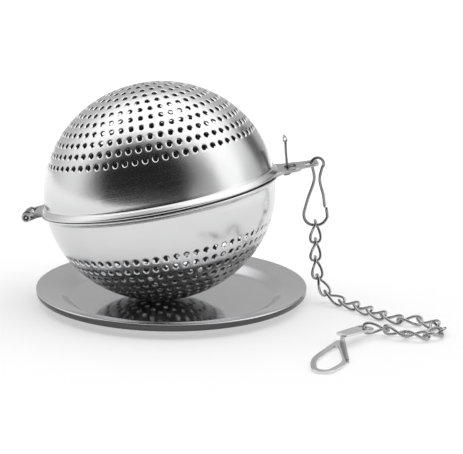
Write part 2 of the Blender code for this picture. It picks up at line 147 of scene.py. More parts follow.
# Saucer, as radius and height in mm from the middle to the lip and back underneath
SAUCER_TOP = [(8, 0.5), (16, 0.5), (21.7, 0.5), (22.2, 0.54), (22.6, 0.66), (23.1, 0.95),
              (24.3, 1.75), (24.9, 2.08), (25.3, 2.24), (25.8, 2.34), (27.5, 2.68), (29.2, 3.04),
              (29.5, 3.13), (29.7, 3.17), (29.84, 3.15), (29.94, 3.07)]
SAUCER_UNDER = [(30, 2.94), (29.98, 2.72), (29.91, 2.25), (29.78, 1.88), (29.57, 1.66),
                (29.3, 1.6), (29, 1.72), (28.7, 2.4), (27.5, 2.22), (25.7, 1.85), (25, 1.6),
                (23.6, 0.62), (23, 0.26), (22.5, 0.06), (22, 0)]
HEM_TOP = 2.9 * MM                 # the hem is painted dark, as painted shade, below this height
HEM_INNER_R = 28.7 * MM            # and outside this radius

# Steel's finish
CLOUD_SCALE = 160                  # uneven patches per metre
CLOUD_SHADE = 0.9                  # the darkest patch over the brightest
ROUGH_RANGE = (0.75, 1.3)          # the smoothest and roughest marks, over the average
WAVE_DEPTH = 0.3 * MM
MARK_DEPTH = 0.02 * MM
CAP_FADE = (-10.5 * MM, -14 * MM)  # in the ball's axes, painted shade darkens the lower shell between these
CAP_SHADE = 0.42

# Camera
VIEW_AZIMUTH = radians(3)
VIEW_ELEVATION = radians(12.04)
VIEW_DISTANCE = 0.23
VIEW_TARGET = Vector((0, 0, 0.02))
LENS_MM = 81.4
LENS_SHIFT = (0.13, -0.04)
LENS_CLIP = 0.01

# Studio. Each patch of sky: azimuth from the front, elevation, half width, half height, softness,
# brightness. A later patch covers the ones before it.
SKY_LEVEL = 0.56
SKY_PATCHES = [(-104, 14, 36, 45, 0.4, 0.72),
               (80, 24, 15, 42, 0.5, 1.35),
               (180, 82, 66, 32, 0.42, 1.6),
               (-15, 26, 52, 42, 0.26, 0.015),
               (-9, 5, 15, 6, 0.6, 0.22),
               (134, 16, 11, 15, 0.5, 0.12)]
FLOOR_SIZE = 4
FLOOR_GLOW = ((0.06, 0.42), (0.3, 0.62))         # painted light: distance from the middle, strength of the floor's glow
FLAG_SIZE = (0.62, 0.09)
FLAG_PLACE = (-0.12, -0.33, 0.045)
FILL_SIZE = (0.9, 0.7)
FILL_PLACE = Vector((0.05, -0.05, 0.75))
FILL_AIM = Vector((0, 0, 0.02))
FILL_LEVEL = 0.4


# ---- places ----

def joint_place(name):
    return Vector(next(j["pos_m"] for j in frame["joints"] if j["name"] == name))


LEAN = Matrix.Rotation(-TILT, 4, "Y")
BALL_CENTRE = joint_place("lid_hinge") - LEAN @ HINGE
BALL = Matrix.Translation(BALL_CENTRE) @ LEAN    # from the ball's axes to the frame's
UPRIGHT = Matrix.Rotation(pi / 2, 4, "X")        # from a drawing in XY to one in XZ


# ---- mesh tools ----

def about(pivot, turn):
    return Matrix.Translation(pivot) @ turn @ Matrix.Translation(-pivot)


def in_mm(points):
    return [(x * MM, y * MM) for x, y in points]


def new_piece(name, mesh):
    piece = bpy.data.objects.new(name, mesh)
    bpy.context.scene.collection.objects.link(piece)
    return piece


def mesh_from(name, body):
    mesh = bpy.data.meshes.new(name)
    bmesh.ops.remove_doubles(body, verts=body.verts, dist=WELD)
    body.to_mesh(mesh)
    body.free()
    mesh.shade_smooth()
    return mesh


def on_ball(piece, *turns):
    """Moves a piece from the ball's axes to the frame's, after some turns of its own."""
    for turn in turns:
        piece.data.transform(turn)
    piece.data.transform(BALL)
    return piece


def put(piece, body, material, node=None):
    """Gives a piece its material, its CAD body and the CAD node that it stands for."""
    piece.data.materials.clear()
    piece.data.materials.append(material)
    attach(piece, body)
    if node:
        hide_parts(node)


def evaluated(piece):
    """Turns a curve or a piece with modifiers into a plain mesh piece."""
    graph = bpy.context.evaluated_depsgraph_get()
    mesh = bpy.data.meshes.new_from_object(piece.evaluated_get(graph))
    name = piece.name
    mesh.transform(piece.matrix_world)
    bpy.data.objects.remove(piece)
    return new_piece(name, mesh)


def smooth_line(points, steps):
    """Points on a Catmull-Rom curve through the given ones."""
    points = [Vector(p) for p in points]
    last = len(points) - 1
    line = []
    for i in range(last):
        a, b, c, d = (points[min(max(i + k, 0), last)] for k in (-1, 0, 1, 2))
        for s in range(steps):
            t = s / steps
            line.append(0.5 * (2 * b + (c - a) * t + (2 * a - 5 * b + 4 * c - d) * t**2
                               + (3 * b - a - 3 * c + d) * t**3))
    return line + [points[-1]]


def smooth_outline(points, steps):
    return [(p.x, p.y) for p in smooth_line([(x, y, 0) for x, y in points], steps)]


def wire(name, points, radius, cyclic=False):
    """A round wire with softly rounded ends."""
    curve = bpy.data.curves.new(name, "CURVE")
    curve.dimensions = "3D"
    curve.bevel_depth = radius
    curve.bevel_resolution = 5
    curve.use_fill_caps = True
    spline = curve.splines.new("POLY")
    spline.points.add(len(points) - 1)
    for target, point in zip(spline.points, points):
        target.co = (*point, 1)
    spline.use_cyclic_u = cyclic
    if not cyclic:
        for k, share in enumerate(WIRE_ENDS):
            spline.points[k].radius = spline.points[-1 - k].radius = share
    piece = evaluated(new_piece(name, curve))
    piece.data.shade_smooth()
    return piece


def arc(cx, cy, radius, start, end, steps):
    turn = [radians(start + (end - start) * i / steps) for i in range(steps + 1)]
    return [(cx + radius * cos(t), cy + radius * sin(t)) for t in turn]


def slot(ends, corner=0.6 * MM):
    """A slot's outline from its near end, far end and half width."""
    x0, x1, half = ends[0] + corner, ends[1] - corner, ends[2] - corner
    return (arc(x1, half, corner, 0, 90, 6) + arc(x0, half, corner, 90, 180, 6)
            + arc(x0, -half, corner, 180, 270, 6) + arc(x1, -half, corner, 270, 360, 6))


def both_sides(side):
    """An outline from its half on one side of the X axis."""
    return side + [(x, -y) for x, y in side[::-1]]


def plate(name, outlines, thickness, edge=0.1 * MM):
    """A flat sheet in XY with rounded edges. Outlines after the first are holes."""
    curve = bpy.data.curves.new(name, "CURVE")
    curve.dimensions = "2D"
    curve.fill_mode = "BOTH"
    curve.extrude = thickness / 2 - edge
    curve.bevel_depth = edge
    curve.bevel_resolution = 3
    curve.offset = -edge
    for outline in outlines:
        spline = curve.splines.new("POLY")
        spline.points.add(len(outline) - 1)
        for target, point in zip(spline.points, outline):
            target.co = (*point, 0, 1)
        spline.use_cyclic_u = True
    piece = evaluated(new_piece(name, curve))
    body = bmesh.new()
    body.from_mesh(piece.data)
    bmesh.ops.remove_doubles(body, verts=body.verts, dist=PLATE_WELD)
    body.to_mesh(piece.data)
    body.free()
    piece.data.shade_smooth()
    piece.data.set_sharp_from_angle(angle=PLATE_SHARP)
    return piece


def thickened(line, thickness):
    """The outline of a bent sheet seen from its edge, from its middle line."""
    left, right = [], []
    for i, point in enumerate(line):
        before = Vector(line[max(i - 1, 0)])
        after = Vector(line[min(i + 1, len(line) - 1)])
        along = (after - before).normalized()
        aside = Vector((-along.y, along.x)) * thickness / 2
        left.append((point[0] + aside.x, point[1] + aside.y))
        right.append((point[0] - aside.x, point[1] - aside.y))
    return left + right[::-1]


def rounded(corners):
    """An outline with rounded corners. Corners are (x, y, radius) in mm, anticlockwise."""
    points = []
    for i, (x, y, radius) in enumerate(corners):
        here = Vector((x, y))
        before = (here - Vector(corners[i - 1][:2])).normalized()
        after = (Vector(corners[(i + 1) % len(corners)][:2]) - here).normalized()
        half = before.angle(after) / 2
        inward = Vector((-before.y, before.x))
        centre = here - before * radius * tan(half) + inward * radius
        first = degrees(atan2(-inward.y, -inward.x))
        last = first + degrees(2 * half)
        points += arc(centre.x * MM, centre.y * MM, radius * MM, first, last, 8)
    return points


# ---- shader tools ----

def vector_math(tree, operation, source, second=None):
    """A Vector Math node on a socket and, where one is given, a fixed second vector."""
    node = tree.nodes.new("ShaderNodeVectorMath")
    node.operation = operation
    tree.links.new(source, node.inputs[0])
    if second is not None:
        node.inputs[1].default_value = second
    return node


def map_range(tree, source, start, end, kind="LINEAR"):
    """A value mapped from one range to another. Start and end are (value in, value out)."""
    node = tree.nodes.new("ShaderNodeMapRange")
    node.interpolation_type = kind
    for name, value in (("From Min", start[0]), ("From Max", end[0]),
                        ("To Min", start[1]), ("To Max", end[1])):
        node.inputs[name].default_value = value
    tree.links.new(source, node.inputs["Value"])
    return node.outputs["Result"]


def noise(tree, source, scale, detail):
    node = tree.nodes.new("ShaderNodeTexNoise")
    node.inputs["Scale"].default_value = scale
    node.inputs["Detail"].default_value = detail
    tree.links.new(source, node.inputs["Vector"])
    return node.outputs["Fac"]


def bump(tree, height, strength, depth):
    node = tree.nodes.new("ShaderNodeBump")
    node.inputs["Strength"].default_value = strength
    node.inputs["Distance"].default_value = depth
    tree.links.new(height, node.inputs["Height"])
    return node


# ---- materials ----

def steel(name, colour, roughness, grain, stretch, turn=0.0, radial=False, wavy=0.1,
          metal=1.0):
    """Polished steel with fine tool marks.

    stretch gives how fast the marks change along X, Y and Z, per metre, in axes leaned by turn.
    A radial finish has its marks in circles about Z. Wavy is how much the sheet is hammered. Where
    metal is below 1, a thin haze lies over the polish.
    """
    material = bpy.data.materials.new(name)
    material.use_nodes = True
    tree = material.node_tree
    nodes, links = tree.nodes, tree.links
    shader = nodes["Principled BSDF"]
    shader.inputs["Metallic"].default_value = metal
    place = nodes.new("ShaderNodeTexCoord").outputs["Object"]
    lean = nodes.new("ShaderNodeMapping")
    lean.inputs["Rotation"].default_value = (0, turn, 0)
    links.new(place, lean.inputs["Vector"])
    source = lean.outputs["Vector"]
    if radial:
        flat = vector_math(tree, "MULTIPLY", source, (1, 1, 0))
        length = vector_math(tree, "LENGTH", flat.outputs["Vector"])
        rings = nodes.new("ShaderNodeCombineXYZ")
        links.new(length.outputs["Value"], rings.inputs["X"])
        source = rings.outputs["Vector"]
    scaled = vector_math(tree, "MULTIPLY", source, stretch)
    marks = noise(tree, scaled.outputs["Vector"], 1, 4)
    clouds = noise(tree, place, CLOUD_SCALE, 5)
    tone = nodes.new("ShaderNodeValToRGB")
    tone.color_ramp.elements[0].color = (*[c * CLOUD_SHADE for c in colour], 1)
    tone.color_ramp.elements[1].color = (*colour, 1)
    links.new(clouds, tone.inputs["Fac"])
    links.new(tone.outputs["Color"], shader.inputs["Base Color"])
    smoothest, roughest = (roughness * share for share in ROUGH_RANGE)
    links.new(map_range(tree, marks, (0, smoothest), (1, roughest)), shader.inputs["Roughness"])
    waves = bump(tree, clouds, wavy, WAVE_DEPTH)
    grooves = bump(tree, marks, grain, MARK_DEPTH)
    links.new(waves.outputs["Normal"], grooves.inputs["Normal"])
    links.new(grooves.outputs["Normal"], shader.inputs["Normal"])
    return material


def paint_shade_low(material, start, end, share):
    """Paints shade on a steel: darkens it from one height to another in the ball's axes, to a share
    of its colour.
    """
    tree = material.node_tree
    colour = tree.nodes["Principled BSDF"].inputs["Base Color"]
    before = colour.links[0].from_socket
    axis = LEAN @ Vector((0, 0, 1))
    centre = BALL_CENTRE.dot(axis)
    place = tree.nodes.new("ShaderNodeTexCoord").outputs["Object"]
    height = vector_math(tree, "DOT_PRODUCT", place, axis)
    fade = map_range(tree, height.outputs["Value"], (centre + end, share), (centre + start, 1))
    shaded = vector_math(tree, "SCALE", before)
    tree.links.new(fade, shaded.inputs["Scale"])
    tree.links.new(shaded.outputs["Vector"], colour)


SHELL_STEEL = steel("shell_spun", (0.71, 0.71, 0.715), 0.2, 0.12, (60, 60, 5000), TILT,
                    wavy=0.18)
LOWER_SHADED_STEEL = steel("shell_lower_painted_shade", (0.72, 0.72, 0.725), 0.2, 0.12, (60, 60, 5000), TILT,
                    wavy=0.25)
# Painted shade: the lower shell darkens towards the bottom of the ball, where the ball shades
# itself.
paint_shade_low(LOWER_SHADED_STEEL, *CAP_FADE, CAP_SHADE)
# A dark steel, as painted shade inside the ball and seen through its holes.
INSIDE_SHADE_STEEL = steel("shell_inside_painted_shade", (0.24, 0.24, 0.25), 0.5, 0.2, (900, 900, 900))
PLATE_STEEL = steel("plate_brushed", (0.5, 0.5, 0.51), 0.28, 0.25, (90, 4200, 900), TILT)
# A dark steel, as painted shade inside the hinge's curl.
CURL_SHADE_STEEL = steel("hinge_curl_painted_shade", (0.2, 0.2, 0.205), 0.3, 0.2, (90, 4200, 900), TILT)
SAUCER_STEEL = steel("saucer_mirror", (0.62, 0.62, 0.63), 0.09, 0.05, (3800, 1, 1), radial=True,
                     metal=0.9)
# A dark steel, as painted shade on the saucer's hem under its lip.
HEM_SHADE_STEEL = steel("saucer_hem_painted_shade", (0.1, 0.1, 0.102), 0.3, 0.1, (900, 900, 900))
SPRING_STEEL = steel("spring_satin", (0.22, 0.22, 0.225), 0.28, 0.2, (900, 900, 120))
WIRE_STEEL = steel("wire_drawn", (0.28, 0.28, 0.285), 0.2, 0.1, (700, 700, 700))
CHAIN_STEEL = steel("chain_bright", (0.42, 0.42, 0.425), 0.12, 0.1, (800, 800, 800))
# A darker steel than the hook's own, as painted shade on the hook's side wall.
WALL_SHADE_STEEL = steel("hook_side_painted_shade", (0.42, 0.42, 0.425), 0.35, 0.15, (800, 2600, 240))
HOOK_STEEL = steel("hook_stamped", (0.78, 0.78, 0.785), 0.2, 0.15, (2600, 240, 800))


# ---- perforated shells ----

def dome_point(turn, latitude, depth=0.0):
    """A point on the dome, or at a depth under it, in the ball's axes."""
    flat = Vector((cos(turn), sin(turn), 0))
    point = flat * BALL_R * cos(latitude) + Vector((0, 0, DOME_H * sin(latitude)))
    normal = flat * cos(latitude) / BALL_R + Vector((0, 0, sin(latitude) / DOME_H))
    return point - normal.normalized() * depth


def bridge(body, lower, upper):
    """Triangles between two closed rings of vertices that both start near the same angle."""
    a, b = len(lower), len(upper)
    i = j = 0
    while i < a or j < b:
        if j == b or (i < a and (i + 1) / a <= (j + 1) / b):
            body.faces.new((lower[i % a], lower[(i + 1) % a], upper[j % b]))
            i += 1
        else:
            body.faces.new((lower[i % a], upper[(j + 1) % b], upper[j % b]))
            j += 1


def sorted_ring(points):
    """A ring's vertices in order of angle, from angle 0 on."""
    return sorted(points, key=lambda v: atan2(v.co.y, v.co.x) % (2 * pi - 1e-7))


def dimple(distance):
    """How deep the sheet lies at this distance from a hole's middle."""
    share = (DIMPLE_R - distance) / (DIMPLE_R - HOLE_R)
    return DIMPLE_DEPTH * min(max(share, 0), 1) ** 2


def cell_boundary(half_x, half_y):
    """Points round a cell, anticlockwise from its lower left corner."""
    n = CELL_SIDE
    step = [-1 + 2 * k / n for k in range(n)]
    return ([(s * half_x, -half_y) for s in step] + [(half_x, s * half_y) for s in step]
            + [(-s * half_x, half_y) for s in step] + [(-half_x, -s * half_y) for s in step])


def add_row(body, latitude, offset, skew):
    """One ring of dimpled holes. Returns its lower and upper rings of vertices."""
    ring_r = BALL_R * cos(latitude)
    count = round(2 * pi * ring_r / HOLE_PITCH)
    along = sqrt((BALL_R * sin(latitude)) ** 2 + (DOME_H * cos(latitude)) ** 2)
    half_turn, half_height = pi / count, CELL_FILL * ROW_STEP
    sides = 4 * CELL_SIDE
    made = {}

    def corner(turn, height):
        """A cell's vertex, which neighbouring cells share. The key rounds off tiny differences."""
        key = (round(turn / half_turn * TURN_KEY) % (2 * TURN_KEY * count),
               round(height * LATITUDE_KEY))
        if key not in made:
            made[key] = body.verts.new(dome_point(turn, height))
        return made[key]

    for k in range(count):
        middle = (2 * k + offset) * half_turn
        loops = []
        for loop in range(DIMPLE_LOOPS):
            rho = HOLE_R + (DIMPLE_R - HOLE_R) * loop / (DIMPLE_LOOPS - 1)
            ring = []
            for s in range(sides):
                phi = radians(-135) + 2 * pi * s / sides
                turn = middle + rho * cos(phi) / ring_r
                height = latitude + HOLE_STRETCH * rho * sin(phi) / along
                depth = dimple(rho) * (1 - skew * sin(phi)) / (1 + skew)
                ring.append(body.verts.new(dome_point(turn, height, depth)))
            loops.append(ring)
        loops.append([corner(middle + x, latitude + y)
                      for x, y in cell_boundary(half_turn, half_height)])
        for inner, outer in zip(loops, loops[1:]):
            for s in range(sides):
                t = (s + 1) % sides
                body.faces.new((outer[s], outer[t], inner[t], inner[s]))
    low = round((latitude - half_height) * LATITUDE_KEY)
    high = round((latitude + half_height) * LATITUDE_KEY)
    lower = sorted_ring([v for (_, height), v in made.items() if height == low])
    upper = sorted_ring([v for (_, height), v in made.items() if height == high])
    return lower, upper


def rim_profile(rim_height, first_latitude):
    """Radius and height of the plain band, the cove and the rolled rim, from the holes down."""
    latitudes = [first_latitude + (BAND_FOOT - first_latitude) * i / BAND_LOOPS
                 for i in range(1, BAND_LOOPS + 1)]
    band = [(BALL_R * cos(t), DOME_H * sin(t)) for t in latitudes]
    top = RIM_LIP + rim_height
    cove = [(radius * MM, top + height * MM) for radius, height in COVE]
    slope = (top - RIM_LIP - BEVEL_FOOT_H) / (RIM_R - BEVEL_R)
    radii = [BEVEL_R + (RIM_R - BEVEL_SHORT - BEVEL_R) * i / BEVEL_LOOPS
             for i in range(BEVEL_LOOPS + 1)]
    bevel = [(r, top - (r - BEVEL_R) * slope) for r in radii]
    foot = [(RIM_R - inside * MM, RIM_LIP + height * MM) for inside, height in RIM_FOOT]
    return band + cove + bevel + foot


def ring_of(body, radius, height, count):
    turns = [2 * pi * k / count for k in range(count)]
    return [body.verts.new((radius * cos(t), radius * sin(t), height)) for t in turns]


def perforated_shell(name, first_row, rim_height, side):
    """A half shell, with its holes, plain band and rolled rim. Side is 1 upwards, -1 downwards."""
    body = bmesh.new()
    skew = DIMPLE_SKEW if side > 0 else 0
    below = None
    for row in range(ROWS):
        lower, upper = add_row(body, first_row + row * ROW_STEP, row % 2, skew)
        if below is None:
            first_ring = lower
        else:
            bridge(body, below, lower)
        below = upper
    pole = body.verts.new((0, 0, DOME_H))
    for k, vert in enumerate(below):
        body.faces.new((vert, below[(k + 1) % len(below)], pole))
    above = first_ring
    for radius, height in rim_profile(rim_height, first_row - CELL_FILL * ROW_STEP):
        ring = ring_of(body, radius, height, BAND_SEGMENTS)
        bridge(body, ring, above)
        above = ring
    mesh = mesh_from(name, body)
    if side < 0:
        mesh.transform(Matrix.Scale(-1, 4, (0, 0, 1)))
        mesh.flip_normals()
    mesh.transform(about(HINGE, Matrix.Rotation(-side * AJAR, 4, "Y")))
    piece = on_ball(new_piece(name, mesh))
    sheet = piece.modifiers.new("sheet", "SOLIDIFY")
    sheet.thickness = SHELL_T
    sheet.offset = -1
    piece = evaluated(piece)
    piece.data.shade_smooth()
    piece.data.set_sharp_from_angle(angle=SHELL_SHARP)
    return piece


def turned_ring(name, profile):
    """A closed ring turned from a profile of radius and height in mm, in the ball's axes."""
    body = bmesh.new()
    rings = [ring_of(body, r, z, BAND_SEGMENTS) for r, z in in_mm(profile)]
    for i, ring in enumerate(rings):
        above = rings[(i + 1) % len(rings)]
        for k in range(BAND_SEGMENTS):
            n = (k + 1) % BAND_SEGMENTS
            body.faces.new((ring[k], ring[n], above[n], above[k]))
    bmesh.ops.recalc_face_normals(body, faces=body.faces)
    return new_piece(name, mesh_from(name, body))


def shade_inside_painted(shell):
    """The inner face gets a dark steel, as painted shade inside the ball."""
    shell.data.materials.append(INSIDE_SHADE_STEEL)
    for face in shell.data.polygons:
        outward = (face.center - BALL_CENTRE).normalized()
        if face.normal.dot(outward) < FACES_INWARD:
            face.material_index = 1


def make_shells():
    upper = perforated_shell("lid_dome", FIRST_ROW["upper"], UPPER_RIM_H, 1)
    put(upper, "lid", SHELL_STEEL, "upper_shell")
    shade_inside_painted(upper)
    lower = perforated_shell("lower_dome", FIRST_ROW["lower"], LOWER_RIM_H, -1)
    put(lower, "lower_shell", LOWER_SHADED_STEEL, "lower_shell")
    shade_inside_painted(lower)
    # The nesting lip inside the rims gets the same dark steel, as painted shade.
    lip = turned_ring("nesting_lip", NESTING_LIP)
    put(on_ball(lip), "lower_shell", INSIDE_SHADE_STEEL)


# ---- plates and hinge ----

def make_handle():
    """The handle: a flare off the rim, a wide tab and a narrower end with the clip's hole."""
    flare = [(21.5, 13.8), (23.6, 9.6), (24.9, 6.9), (26.2, 5.3), (27.8, 4.5), (29.6, 4.35)]
    side = smooth_outline(in_mm(flare), 5) + in_mm([(30.5, 3.5)])
    side += arc(33.4 * MM, 1.9 * MM, 1.2 * MM, 90, 0, 8)
    outlines = [both_sides(side)[::-1], slot(LATCH_SLOT), slot(CLIP_HOLE)]
    handle = plate("handle", outlines, PLATE_T)
    level = Matrix.Translation((0, 0, PLATE_LEVEL))
    put(on_ball(handle, level), "lid", PLATE_STEEL)


def make_tongue():
    """The tongue below the handle, on the lower shell."""
    end, half, corner = 30.8 * MM, 3.6 * MM, 1.5 * MM
    side = in_mm([(23.2, 10.2), (24.6, 7.2), (25.8, 5.2)]) + [(27.2 * MM, half)]
    side += arc(end - corner, half - corner, corner, 90, 0, 8)
    tongue = plate("catch_tongue", [both_sides(side)[::-1], slot(LATCH_SLOT)], TONGUE_T)
    level = Matrix.Translation((0, 0, -TONGUE_LEVEL))
    put(on_ball(tongue, level), "lower_shell", PLATE_STEEL)


def make_hinge():
    """The lid's web, arms, eyes and pin, and the curl of the lower shell round the pin."""
    web_end = HINGE.x + 1.7 * MM
    edge = in_mm([(-22, -13), (-24, -8.8), (-25.4, -6)]) + [(web_end, -3.7 * MM)]
    web = plate("hinge_web", [both_sides(edge)], PLATE_T)
    level = Matrix.Translation((0, 0, PLATE_LEVEL))
    put(on_ball(web, level), "lid", PLATE_STEEL)

    line = [(web_end + 0.6 * MM, PLATE_LEVEL), (web_end, PLATE_LEVEL),
            (HINGE.x + 1.2 * MM, HINGE.z + 0.52 * MM), (HINGE.x + 0.75 * MM, HINGE.z + 0.4 * MM)]
    arm_outline = thickened(smooth_outline(line, 4), ARM_T)
    rim = arc(HINGE.x, HINGE.z, EYE_R, 0, 360, 40)[:-1]
    hole = arc(HINGE.x, HINGE.z, EYE_HOLE_R, 360, 0, 40)[:-1]
    for side, name in ((-1, "front"), (1, "back")):
        aside = Matrix.Translation((0, side * ARM_MIDDLE, 0))
        arm = plate(f"hinge_arm_{name}", [arm_outline], ARM_W)
        put(on_ball(arm, UPRIGHT, aside), "lid", PLATE_STEEL)
        eye = plate(f"hinge_eye_{name}", [rim, hole], ARM_W, EYE_EDGE)
        put(on_ball(eye, UPRIGHT, aside), "lid", PLATE_STEEL)

    pin = [(HINGE.x, y * MM, HINGE.z) for y in PIN_POINTS]
    put(on_ball(wire("hinge_bar", pin, PIN_R)), "lid", SHELL_STEEL)

    straight = [(-PLATE_ROOT, -0.7 * MM), (HINGE.x + 1.9 * MM, -0.85 * MM)]
    line = straight + arc(HINGE.x, HINGE.z, CURL_R, 290, 60, 30)
    curl = plate("hinge_curl", [thickened(line, CURL_T)], CURL_W)
    # The curl gets a dark steel, as painted shade inside it.
    put(on_ball(curl, UPRIGHT), "lower_shell", CURL_SHADE_STEEL)


# ---- latch and clip ----

def make_latch():
    """The spring strip that stands through both slots, with its top rolled over."""
    stem = [(-1.3, 0.34), (-0.3, 0.34), (0.08, 0.6), (0.05, 1.2), (-0.35, 1.9), (-0.25, 3.2),
            (-0.15, 4.6), (0.1, 7.0)]
    top = [(0.1, 7.0), (0.52, 7.5), (0.42, 7.95), (0.12, 8.35), (-0.2, 7.95), (-0.3, 7.5),
           (-0.02, 7.14)]
    stem = in_mm(smooth_outline(stem, 5))
    top = in_mm(smooth_outline(top, 5))
    strip = plate("latch_strip", [thickened(stem, STRIP_T)], STRIP_W, STRIP_EDGE)
    roll = plate("latch_curl", [thickened(top, STRIP_ROLL_T)], STRIP_W, STRIP_ROLL_EDGE)
    foot = Matrix.Translation(joint_place("latch_flex")) @ LEAN
    for piece in (roll, strip):
        piece.data.transform(UPRIGHT)
        piece.data.transform(foot)
    put(roll, "latch", PLATE_STEEL)
    put(strip, "latch", SPRING_STEEL, "latch_spring")


def make_clip():
    """The pear-shaped clip, bent from one wire whose free end laps over the hooked end."""
    drop, foot_r = 13.8, 2.1
    line = [(2.15, -9.9), (1.75, -7.2), (0.9, -3.9)] + arc(0.3, -0.4, 1.35, -42, 222, 11)
    line += [(-0.3, -3.9), (-1.5, -7.9), (-2.25, -10.9)]
    line += arc(-0.15, foot_r - drop, foot_r, 190, 270, 4)
    line += arc(0.55, foot_r - drop, foot_r, 270, 365, 5) + [(2.35, -9.6)]
    forward = [0] * (len(line) - 3) + [0.35, 1.0, 1.1]
    start = joint_place("clip_swing")
    points = [start + Vector((x, -lap, z)) * MM for (x, z), lap in zip(line, forward)]
    clip = wire("clip_wire", smooth_line(points, 6), CLIP_WIRE_R)
    put(clip, "clip", WIRE_STEEL, "snap_clip")


# ---- chain and hook ----

def link_line():
    """The middle of a link's wire: a loop twisted a quarter turn from end to end, along Z."""
    points = []
    for i in range(LINK_POINTS):
        s = 2 * pi * (i + 0.5) / LINK_POINTS
        along = LINK_HALF_L * cos(s)
        out = LINK_HALF_W * abs(sin(s)) ** LINK_FULLNESS * (1 if sin(s) > 0 else -1)
        twist = LINK_TWIST * along / LINK_HALF_L
        points.append((out * cos(twist), out * sin(twist), along))
    return points


def link_place(start, end, roll):
    """Where a link lies between two pivots. Without roll its middle plane is level."""
    along = (end - start).normalized()
    heading = atan2(along.y, along.x)
    slope = atan2(along.z, Vector((along.x, along.y)).length)
    normal = Vector((-sin(slope) * cos(heading), -sin(slope) * sin(heading), cos(slope)))
    normal.rotate(Matrix.Rotation(radians(roll), 3, along))
    turn = Matrix((normal.cross(along), normal, along)).transposed().to_4x4()
    return Matrix.Translation((start + end) / 2) @ turn


def make_chain():
    pivots = [joint_place(f"link_{n:02d}_swing") for n in range(1, LINK_COUNT + 1)]
    pivots.append(joint_place("hook_swing"))
    for number in range(1, LINK_COUNT + 1):
        link = wire(f"curb_link_{number:02d}", link_line(), LINK_WIRE_R, True)
        place = link_place(pivots[number - 1], pivots[number], LINK_ROLL.get(number, 0))
        link.data.transform(place)
        put(link, f"link_{number:02d}", CHAIN_STEEL, f"chain_link_{number:02d}")


def make_hook():
    """A flat ring, a side wall folded up from it and a tongue whose eye holds the last link."""
    eye = joint_place("hook_swing")
    outer = [(-6.1, -3.9, 0.8), (-12.2, -14.9, 12), (-12.2, -21.2, 2.1), (-8.7, -21.2, 2.6),
             (-4.9, -15.9, 9), (-4.9, -3.9, 0.5)]
    inner = [(-6.2, -6.6, 0.3), (-11.1, -15.2, 10), (-11.1, -20.1, 1.1), (-9.2, -20.1, 1.3),
             (-5.95, -15.6, 7)]
    here = Matrix.Translation(eye)
    lower = Matrix.Translation((0, 0, HOOK_RING_LEVEL - eye.z))
    ring = plate("hook_ring", [rounded(outer), rounded(inner)[::-1]], HOOK_T)
    ring.data.transform(here @ lower)
    put(ring, "hook", HOOK_STEEL, "rim_hook")

    corners = [(4.4, -0.2, 0.05), (15.4, -0.2, 0.05), (15.4, 0.6, 0.3), (9, 1.5, 1.5),
               (7.6, 2.15, 1.2), (4.4, 2.15, 0.3)]
    wall = plate("hook_wall", [rounded(corners)], HOOK_T)
    turned = Matrix.Rotation(-pi / 2, 4, "Z") @ UPRIGHT
    wall.data.transform(here @ lower @ Matrix.Translation((HOOK_WALL_X, 0, 0)) @ turned)
    # The wall gets a darker steel than the ring, as painted shade.
    put(wall, "hook", WALL_SHADE_STEEL)

    bar_end = -0.92
    corners = [(bar_end, -1.6, 0.7), (8.4, -1.28, 0.3), (8.4, 1.28, 0.3), (bar_end, 1.6, 0.7)]
    hole = slot(((bar_end + 0.8) * MM, (bar_end + 2.25) * MM, 1.1 * MM), 0.4 * MM)
    tongue = plate("hook_tongue", [rounded(corners), hole], HOOK_T)
    slope = Matrix.Rotation(HOOK_HEADING, 4, "Z") @ Matrix.Rotation(HOOK_SLOPE, 4, "Y")
    tongue.data.transform(here @ slope)
    put(tongue, "hook", HOOK_STEEL)


# ---- saucer ----

def make_saucer():
    """The drip saucer: a flat well, a short wall, a wide shallow brim and a folded hem."""
    body = bmesh.new()
    rings = [ring_of(body, r, z, BAND_SEGMENTS) for r, z in in_mm(SAUCER_TOP + SAUCER_UNDER)]
    for lower, upper in zip(rings, rings[1:]):
        for k in range(BAND_SEGMENTS):
            n = (k + 1) % BAND_SEGMENTS
            body.faces.new((lower[k], upper[k], upper[n], lower[n]))
    for ring, up in ((rings[0], True), (rings[-1], False)):
        pole = body.verts.new((0, 0, ring[0].co.z))
        for k in range(BAND_SEGMENTS):
            n = (k + 1) % BAND_SEGMENTS
            body.faces.new((pole, ring[k], ring[n]) if up else (pole, ring[n], ring[k]))
    saucer = new_piece("drip_saucer", mesh_from("drip_saucer", body))
    put(saucer, "saucer", SAUCER_STEEL, "saucer")
    # The hem gets a dark steel, as painted shade under the lip.
    saucer.data.materials.append(HEM_SHADE_STEEL)
    for face in saucer.data.polygons:
        middle = face.center
        if middle.z < HEM_TOP and middle.to_2d().length > HEM_INNER_R:
            face.material_index = 1


# ---- studio ----

def flat_material(name, colour, roughness):
    material = bpy.data.materials.new(name)
    material.use_nodes = True
    shader = material.node_tree.nodes["Principled BSDF"]
    shader.inputs["Base Color"].default_value = (*colour, 1)
    shader.inputs["Roughness"].default_value = roughness
    return material


